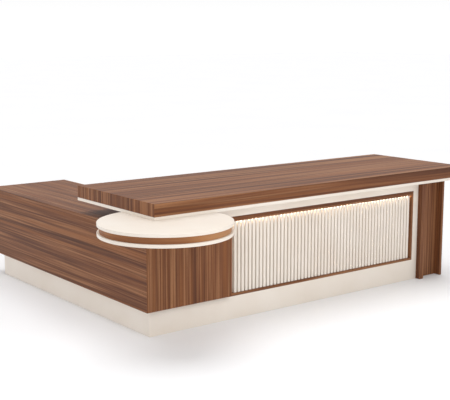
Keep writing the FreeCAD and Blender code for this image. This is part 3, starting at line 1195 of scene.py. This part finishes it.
@dataclass
class FrontPanel:
    """The cream front panel: its walnut-lined recess, the bars in it and the light above them."""

    board_ease: float = 0.0008
    bar_ease: float = 0.0015
    bar_ease_steps: int = 3
    # Lots of darker stretches of veneer, so that the lining carries painted shade, deeper than the
    # recess casts by itself.
    lining: tuple[tuple[str, Axis, int], ...] = (
        ("recess_top_board", Axis.ALONG_TOP, 102),
        ("recess_pelmet", Axis.ALONG_TOP, 113),
        ("recess_bottom_board", Axis.ALONG_TOP, 136),
        ("recess_left_board", Axis.UPRIGHT, 53),
        ("recess_right_board", Axis.UPRIGHT, 126),
    )

    def build(self, palette: Palette) -> None:
        """Builds the panel, the lining and the bars, and dresses the light.

        Args:
            palette: Finishes of the desk.
        """
        for node in ("modesty_panel", "recess_back_panel"):
            Board(node, Axis.ALONG_TOP, ease=self.board_ease).build(palette.cream, Body.DESK)
        for node, grain, lot in self.lining:
            Board(node, grain, lot, self.board_ease).build(palette.walnut, Body.DESK)
        self.build_bars(palette.cream)
        palette.channel.paint_node("led_channel")
        palette.opal.paint_node("led_diffuser")
        palette.strip.paint_node("led_strip")

    def build_bars(self, coat: Coat) -> None:
        """Makes the row of bars with Geometry Nodes.

        Args:
            coat: Finish of the bars.
        """
        solids = [span_of(solid) for solid in solids_of("recess_slats")]
        solids.sort(key=lambda solid: solid[0].x)
        low, high = solids[0]
        pitch = (solids[-1][0].x - low.x) / (len(solids) - 1)
        tool = NodeTool(
            "recess_bar_row",
            {
                "Bars": "NodeSocketInt",
                "Pitch": "NodeSocketFloat",
                "First Foot": "NodeSocketVector",
                "Bar Width": "NodeSocketFloat",
                "Bar Depth": "NodeSocketFloat",
                "Bar Height": "NodeSocketFloat",
                "Edge Radius": "NodeSocketFloat",
                "Edge Steps": "NodeSocketInt",
                "Finish": "NodeSocketMaterial",
            },
        )
        tree, given = tool.tree, tool.given
        step = add_node(tree, "ShaderNodeCombineXYZ", {0: given["Pitch"]})
        feet = add_node(
            tree,
            "GeometryNodeMeshLine",
            {"Count": given["Bars"], "Start Location": given["First Foot"], "Offset": step},
            mode="OFFSET",
        )
        section = add_node(
            tree,
            "GeometryNodeCurvePrimitiveQuadrilateral",
            {"Width": given["Bar Width"], "Height": given["Bar Depth"]},
        )
        eased = add_node(
            tree,
            "GeometryNodeFilletCurve",
            {"Curve": section, "Count": given["Edge Steps"], "Radius": given["Edge Radius"]},
            mode="POLY",
        )
        head = add_node(tree, "ShaderNodeCombineXYZ", {2: given["Bar Height"]})
        stem = add_node(tree, "GeometryNodeCurvePrimitiveLine", {"End": head})
        bar = add_node(
            tree,
            "GeometryNodeCurveToMesh",
            {"Curve": stem, "Profile Curve": eased, "Fill Caps": True},
        )
        row = add_node(tree, "GeometryNodeInstanceOnPoints", {"Points": feet, "Instance": bar})
        tool.end_with(row)
        mesh = tool.run(
            bpy.data.meshes.new("bar_row_start"),
            {
                "Bars": len(solids),
                "Pitch": pitch,
                "First Foot": ((low.x + high.x) / 2, (low.y + high.y) / 2, low.z),
                "Bar Width": high.x - low.x,
                "Bar Depth": high.y - low.y,
                "Bar Height": high.z - low.z,
                "Edge Radius": self.bar_ease,
                "Edge Steps": self.bar_ease_steps,
                "Finish": coat.material,
            },
        )
        add_piece("recess_bars", mesh, coat, Body.DESK, ["recess_slats"])


@dataclass
class PanelLeg:
    """The leg at the free end of the top: two deep walnut boards joined by set-back webs."""

    board_ease: float = 0.0008
    first_lot: int = 40
    boards: tuple[str, ...] = (
        "leg_inner_panel",
        "leg_outer_panel",
        "leg_front_web",
        "leg_rear_web",
    )

    def build(self, palette: Palette) -> None:
        """Builds the leg's boards with upright grain.

        Args:
            palette: Finishes of the desk.
        """
        for lot, node in enumerate(self.boards, self.first_lot):
            Board(node, Axis.UPRIGHT, lot, self.board_ease).build(palette.walnut, Body.DESK)


@dataclass
class Drawer:
    """One drawer: a walnut front with a steel pull, a plain box and its runners."""

    body: Body
    lot: int
    board_ease: float = 0.0008
    pull_ease: float = 0.002
    pull_ease_steps: int = 3
    rail_ease: float = 0.0015

    def build(self, palette: Palette) -> None:
        """Builds the front, the box, the runners and the pull.

        Args:
            palette: Finishes of the desk.
        """
        name = self.body.value
        front = Board(f"{name}_front", Axis.ALONG_RETURN, self.lot, self.board_ease)
        front.build(palette.walnut, self.body)
        for part in ("sides", "back", "bottom"):
            board = Board(f"{name}_{part}", Axis.ALONG_TOP, ease=self.board_ease)
            board.build(palette.drawer_board, self.body)
        rails = Board(f"{name}_runners", Axis.ALONG_TOP, ease=self.rail_ease)
        rails.build(palette.zinc, self.body)
        pull = Board(
            f"{name}_pull", Axis.ALONG_RETURN, ease=self.pull_ease, ease_steps=self.pull_ease_steps
        )
        pull.build(palette.pull_level, self.body)


@dataclass
class CupboardDoor:
    """The cupboard's door with its upright pull and the hinge cups let into its back."""

    lot: int = 63
    board_ease: float = 0.0008
    pull_ease: float = 0.002
    pull_ease_steps: int = 3
    cup_wall: float = 0.0018
    cup_hollow: float = 0.008
    cup_ease: float = 0.0005
    cup_segments: int = 48

    def build(self, palette: Palette) -> None:
        """Builds the door, its pull and its hinge cups.

        Args:
            palette: Finishes of the desk.
        """
        body = Body.CUPBOARD_DOOR
        door = Board("cupboard_door", Axis.ALONG_RETURN, self.lot, self.board_ease)
        door.build(palette.walnut, body)
        pull = Board(
            "cupboard_pull", Axis.UPRIGHT, ease=self.pull_ease, ease_steps=self.pull_ease_steps
        )
        pull.build(palette.pull_upright, body)
        self.build_cups(palette.zinc, body)

    def build_cups(self, coat: Coat, body: Body) -> None:
        """Turns the two hollow cups as one piece.

        Args:
            coat: Finish of the cups.
            body: Body that they ride on.
        """
        both = bmesh.new()
        for solid in solids_of("hinge_cups"):
            low, high = span_of(solid)
            centre = Vector((low.x, (low.y + high.y) / 2, (low.z + high.z) / 2))
            radius, depth = (high.z - low.z) / 2, high.x - low.x
            inside = radius - self.cup_wall
            outline = (
                (inside - self.cup_ease, self.cup_hollow),
                (inside, self.cup_hollow - self.cup_ease),
                (inside, self.cup_ease),
                (inside + self.cup_ease, 0.0),
                (radius - self.cup_ease, 0.0),
                (radius, self.cup_ease),
                (radius, depth),
            )
            cup = Turned("hinge_cup", centre, outline, Axis.ALONG_TOP, self.cup_segments)
            both.from_mesh(mesh_from("hinge_cup", cup.shape()))
        name = "hinge_cups_turned"
        add_piece(name, mesh_from(name, both), coat, body, ["hinge_cups"])


@dataclass
class Fixings:
    """Steel angles and hinge plates with their screws, and the cabinet's half of the runners.

    The rings draw a screw head from below: its reach at the arms of the cross, its reach between
    them, and its level, as shares of the head's radius and height.
    """

    screw_radius: float = 0.004
    screw_height: float = 0.0022
    screw_segments: int = 12
    screw_arms: int = 4
    screw_rings: tuple[Triple, ...] = (
        (1.0, 1.0, 0.0),
        (1.0, 1.0, 0.4),
        (0.8, 0.8, 0.85),
        (0.6, 0.6, 1.0),
        (0.5, 0.18, 1.0),
        (0.28, 0.1, 0.45),
    )
    steel_ease: float = 0.0005
    bracket_sheet: float = 0.003
    bracket_screw_end: float = 0.015
    bracket_screw_height: float = 0.016
    hinge_plate_length: float = 0.045
    hinge_plate_thickness: float = 0.012
    hinge_screw_rise: float = 0.017
    spots: list[tuple[Vector, Vector]] = field(default_factory=list)

    def build(self, palette: Palette) -> None:
        """Dresses the steel parts and sets their screws.

        Args:
            palette: Finishes of the desk.
        """
        for node in ("angle_brackets", "hinge_arms", "cabinet_runners"):
            Board(node, Axis.ALONG_TOP, ease=self.steel_ease).build(palette.zinc, Body.DESK)
        for solid in solids_of("angle_brackets"):
            self.mark_bracket(solid)
        for solid in solids_of("hinge_arms"):
            self.mark_hinge_plate(solid)
        self.build_screws(palette.zinc)

    def mark_bracket(self, solid: list[Vector]) -> None:
        """Notes where a bracket's four screws go.

        Args:
            solid: Corner points of the bracket.
        """
        low, high = span_of(solid)
        lowest = [point for point in solid if point.z < low.z + self.bracket_sheet]
        wall_low, wall_high = span_of(lowest)
        run = 1 if high.y - low.y > high.x - low.x else 0
        out = 1 - run
        outwards = Vector()
        at_low_side = wall_low[out] - low[out] < high[out] - wall_high[out]
        outwards[out] = 1.0 if at_low_side else -1.0
        wall_face = wall_high[out] if at_low_side else wall_low[out]
        sheet = self.bracket_sheet if at_low_side else -self.bracket_sheet
        middle = (low[out] + high[out] + sheet) / 2
        for place in (low[run] + self.bracket_screw_end, high[run] - self.bracket_screw_end):
            on_wall, on_top = Vector(), Vector()
            on_wall[run], on_wall[out] = place, wall_face
            on_wall.z = low.z + self.bracket_screw_height
            on_top[run], on_top[out] = place, middle
            on_top.z = high.z - self.bracket_sheet
            self.spots += [(on_wall, outwards), (on_top, Vector((0.0, 0.0, -1.0)))]

    def mark_hinge_plate(self, solid: list[Vector]) -> None:
        """Notes where a hinge plate's two screws go, above and below its arm.

        Args:
            solid: Corner points of the hinge.
        """
        low, high = span_of(solid)
        along = low.x + self.hinge_plate_length / 2
        face = high.y - self.hinge_plate_thickness
        middle = (low.z + high.z) / 2
        for rise in (-self.hinge_screw_rise, self.hinge_screw_rise):
            spot = Vector((along, face, middle + rise))
            self.spots.append((spot, Vector((0.0, -1.0, 0.0))))

    def screw_head(self) -> bpy.types.Object:
        """Makes a pan head with a cross recess.

        Returns:
            A loose object, which the screws are copied from.
        """
        count = self.screw_segments
        shape = bmesh.new()
        made = []
        for arm, between, level in self.screw_rings:
            height = level * self.screw_height
            ring = []
            for step in range(count):
                turn = math.tau * step / count
                at_arm = step % (count // self.screw_arms) == 0
                reach = (arm if at_arm else between) * self.screw_radius
                spot = (reach * math.cos(turn), reach * math.sin(turn), height)
                ring.append(shape.verts.new(spot))
            made.append(ring)
        for lower, upper in zip(made, made[1:]):
            for step in range(count):
                following = (step + 1) % count
                shape.faces.new((lower[step], lower[following], upper[following], upper[step]))
        shape.faces.new(made[0][::-1])
        shape.faces.new(made[-1])
        return bpy.data.objects.new("screw_head", mesh_from("screw_head", shape))

    def build_screws(self, coat: Coat) -> None:
        """Sets a screw head on every noted spot with Geometry Nodes.

        Args:
            coat: Finish of the screws.
        """
        tool = NodeTool(
            "screw_heads", {"Screw": "NodeSocketObject", "Finish": "NodeSocketMaterial"}
        )
        tree, given = tool.tree, tool.given
        facing = add_node(
            tree, "GeometryNodeInputNamedAttribute", {"Name": FACING}, data_type="FLOAT_VECTOR"
        )
        turn = add_node(tree, "FunctionNodeAlignRotationToVector", {"Vector": facing}, axis="Z")
        screw = add_node(
            tree, "GeometryNodeObjectInfo", {"Object": given["Screw"], "As Instance": True}
        ).outputs["Geometry"]
        heads = add_node(
            tree,
            "GeometryNodeInstanceOnPoints",
            {"Points": given["Geometry"], "Instance": screw, "Rotation": turn},
        )
        tool.end_with(heads)
        start = bpy.data.meshes.new("screw_spots")
        start.from_pydata([spot for spot, _ in self.spots], [], [])
        ways = start.attributes.new(FACING, "FLOAT_VECTOR", "POINT")
        for item, (_, way) in zip(ways.data, self.spots):
            item.vector = way
        head = self.screw_head()
        mesh = tool.run(start, {"Screw": head, "Finish": coat.material})
        bpy.data.objects.remove(head)
        add_piece("fixing_screws", mesh, coat, Body.DESK)


@dataclass(frozen=True)
class Lamp:
    """A wide lamp far away. Heading zero lights the visitor's side, and angles are in degrees."""

    name: str
    strength: float
    height: float
    heading: float
    softness: float

    def build(self) -> None:
        """Hangs the lamp."""
        data = bpy.data.lights.new(self.name, "SUN")
        data.energy = self.strength
        data.angle = math.radians(self.softness)
        lamp = bpy.data.objects.new(self.name, data)
        lamp.rotation_euler = (math.radians(90 - self.height), 0.0, math.radians(self.heading))
        bpy.context.scene.collection.objects.link(lamp)


@dataclass(frozen=True)
class SoftBox:
    """A square soft light near the desk, so that what is closer to it is brighter."""

    name: str
    power: float
    size: float
    place: Triple
    target: Triple

    def build(self) -> None:
        """Sets up the light and turns it to its target."""
        data = bpy.data.lights.new(self.name, "AREA")
        data.energy = self.power
        data.size = self.size
        lamp = bpy.data.objects.new(self.name, data)
        lamp.location = self.place
        way = Vector(self.target) - Vector(self.place)
        lamp.rotation_euler = way.to_track_quat("-Z", "Y").to_euler()
        bpy.context.scene.collection.objects.link(lamp)


@dataclass
class Studio:
    """Pale floor, white dome, three soft lights and the camera at the picture's angle."""

    floor_half: float = 60.0
    dome_strength: float = 0.56
    horizon_strength: float = 1.05
    horizon_rise: float = 0.25
    lamps: tuple[Lamp | SoftBox, ...] = (
        Lamp("overhead_lamp", strength=1.62, height=72.0, heading=167.0, softness=54.0),
        SoftBox(
            "front_box", power=25.0, size=1.6, place=(-0.8, -3.2, 2.2), target=(0.0, -0.7, 0.6)
        ),
        Lamp("side_lamp", strength=0.24, height=25.0, heading=-90.0, softness=40.0),
    )
    camera_place: Triple = (-3.90491, -5.10134, 1.64973)
    camera_heading: float = math.radians(37.4923)
    camera_dip: float = math.radians(9.6627)
    camera_reach: float = 500.0
    lens_mm: float = 78.096
    sensor_mm: float = 36.0

    def build(self) -> None:
        """Builds the floor, the lights and the camera."""
        self.lay_floor()
        self.light()
        self.aim_camera()

    def lay_floor(self) -> None:
        """Lays a floor that runs on to the horizon."""
        half = self.floor_half
        mesh = bpy.data.meshes.new("studio_floor")
        corners = [(-half, -half, 0.0), (half, -half, 0.0), (half, half, 0.0), (-half, half, 0.0)]
        mesh.from_pydata(corners, [], [(0, 1, 2, 3)])
        mesh.materials.append(StudioFloor("matt_white_floor", None).material())
        floor = bpy.data.objects.new("studio_floor", mesh)
        bpy.context.scene.collection.objects.link(floor)

    def light(self) -> None:
        """Lights the desk from a white dome, brighter towards the horizon, and from the lamps."""
        dome = bpy.data.worlds.new("studio_dome")
        dome.use_nodes = True
        tree = dome.node_tree
        tree.nodes.clear()
        way = add_node(tree, "ShaderNodeTexCoord").outputs["Generated"]
        rise = add_node(tree, "ShaderNodeSeparateXYZ", {0: way}).outputs["Z"]
        power = add_node(
            tree,
            "ShaderNodeMapRange",
            {
                "Value": rise,
                "From Max": self.horizon_rise,
                "To Min": self.horizon_strength,
                "To Max": self.dome_strength,
            },
        )
        sky = add_node(tree, "ShaderNodeBackground", {"Color": WHITE, "Strength": power})
        add_node(tree, "ShaderNodeOutputWorld", {"Surface": sky})
        bpy.context.scene.world = dome
        bpy.context.scene.view_settings.view_transform = "Standard"
        for lamp in self.lamps:
            lamp.build()

    def aim_camera(self) -> None:
        """Sets the camera where the picture was taken from."""
        data = bpy.data.cameras.new("picture_camera")
        data.lens = self.lens_mm
        data.sensor_width = self.sensor_mm
        data.clip_end = self.camera_reach
        camera = bpy.data.objects.new("picture_camera", data)
        camera.location = self.camera_place
        camera.rotation_euler = (math.pi / 2 - self.camera_dip, 0.0, -self.camera_heading)
        bpy.context.scene.collection.objects.link(camera)
        bpy.context.scene.camera = camera


def main() -> None:
    """Builds the desk's sub-assemblies in order, then the studio."""
    logging.basicConfig(level=logging.INFO, format="%(message)s")
    palette = Palette()
    Desktop().build(palette)
    CornerDisc().build(palette)
    ReturnCabinet().build(palette)
    FrontPanel().build(palette)
    PanelLeg().build(palette)
    drawers = (Body.DRAWER_LOWER, Body.DRAWER_MIDDLE, Body.DRAWER_UPPER)
    for lot, body in enumerate(drawers, FIRST_DRAWER_LOT):
        Drawer(body, lot).build(palette)
    CupboardDoor().build(palette)
    Fixings().build(palette)
    Studio().build()


if __name__ == "__main__":
    main()
